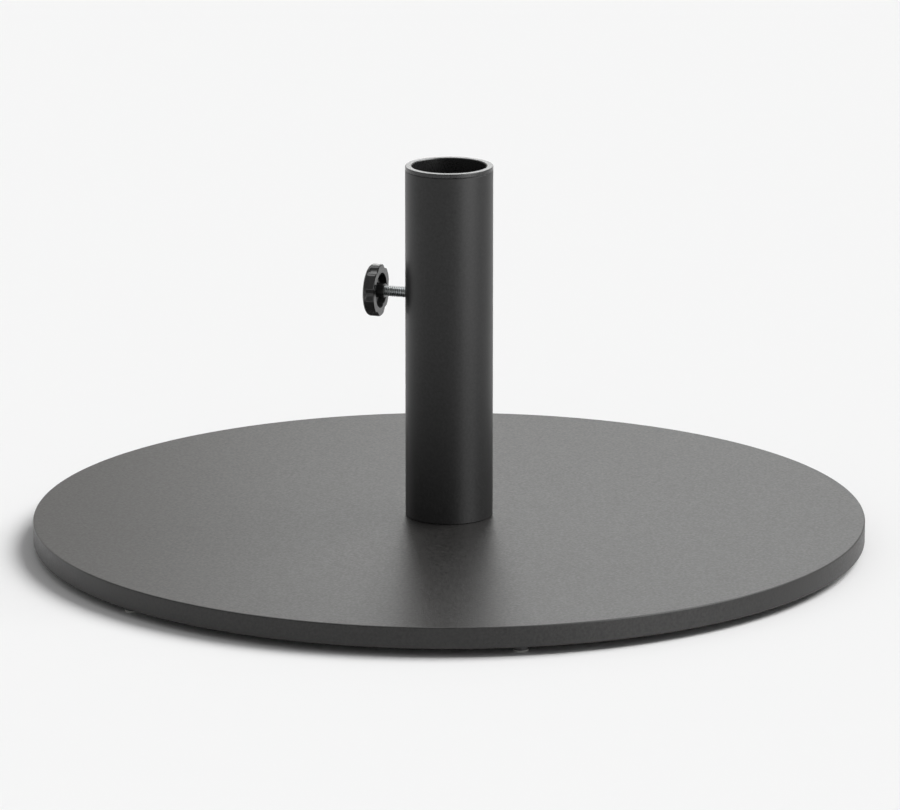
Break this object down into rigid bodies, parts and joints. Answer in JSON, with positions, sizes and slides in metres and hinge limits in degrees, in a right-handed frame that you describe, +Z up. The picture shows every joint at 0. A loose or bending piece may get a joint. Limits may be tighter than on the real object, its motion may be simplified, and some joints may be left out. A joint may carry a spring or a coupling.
{
  "type": "parasol base",
  "caption": "Round steel plate on small feet, with a central stem tube that takes a parasol pole and a lobed knob whose screw clamps the pole.",
  "frame": {"origin": "on the floor, on the axis of the plate and the stem", "axes": "+Z up along the stem; the clamp screw lies along X, with its knob on the -X side"},
  "size_m": [0.6049, 0.605, 0.2805],
  "materials": {
    "plate_powder_coat": "satin, fine-grained",
    "stem_powder_coat": "satin, fine-grained",
    "collar_plastic": "smooth moulded",
    "knob_plastic": "smooth moulded",
    "zinc_plate": "bright zinc plate",
    "tip_nylon": "natural nylon",
    "glide_nylon": "moulded",
    "sole_rubber": "soft, matt"
  },
  "bodies": {
    "base": {"base_plate": "plate_powder_coat", "stem_tube": "stem_powder_coat", "stem_floor": "stem_powder_coat", "clamp_boss": "stem_powder_coat", "stem_bolt": "zinc_plate", "bolt_flat_washer": "zinc_plate", "bolt_spring_washer": "zinc_plate", "top_collar": "collar_plastic", "foot_glide_1": "glide_nylon", "foot_glide_2": "glide_nylon", "foot_glide_3": "glide_nylon", "foot_glide_4": "glide_nylon", "foot_glide_5": "glide_nylon", "foot_glide_6": "glide_nylon", "foot_sole_1": "sole_rubber", "foot_sole_2": "sole_rubber", "foot_sole_3": "sole_rubber", "foot_sole_4": "sole_rubber", "foot_sole_5": "sole_rubber", "foot_sole_6": "sole_rubber"},
    "clamp_tip": {"screw_tip": "tip_nylon"},
    "clamp_knob": {"clamp_screw": "zinc_plate", "clamp_knob": "knob_plastic", "knob_cap": "knob_plastic"}
  },
  "joints": [
    {"name": "clamp_travel", "type": "slide", "parent": "base", "child": "clamp_tip", "axis": [1, 0, 0], "range_m": [-0.0015, 0.0163]},
    {"name": "clamp_turn", "type": "hinge", "parent": "clamp_tip", "child": "clamp_knob", "pos_m": [-0.05, 0, 0.1848], "axis": [1, 0, 0], "range_deg": [-360, 4140]}
  ],
  "couplings": [
    {"joint": "clamp_travel", "follows": "clamp_turn", "m_per_rad": 0.00022458}
  ]
}
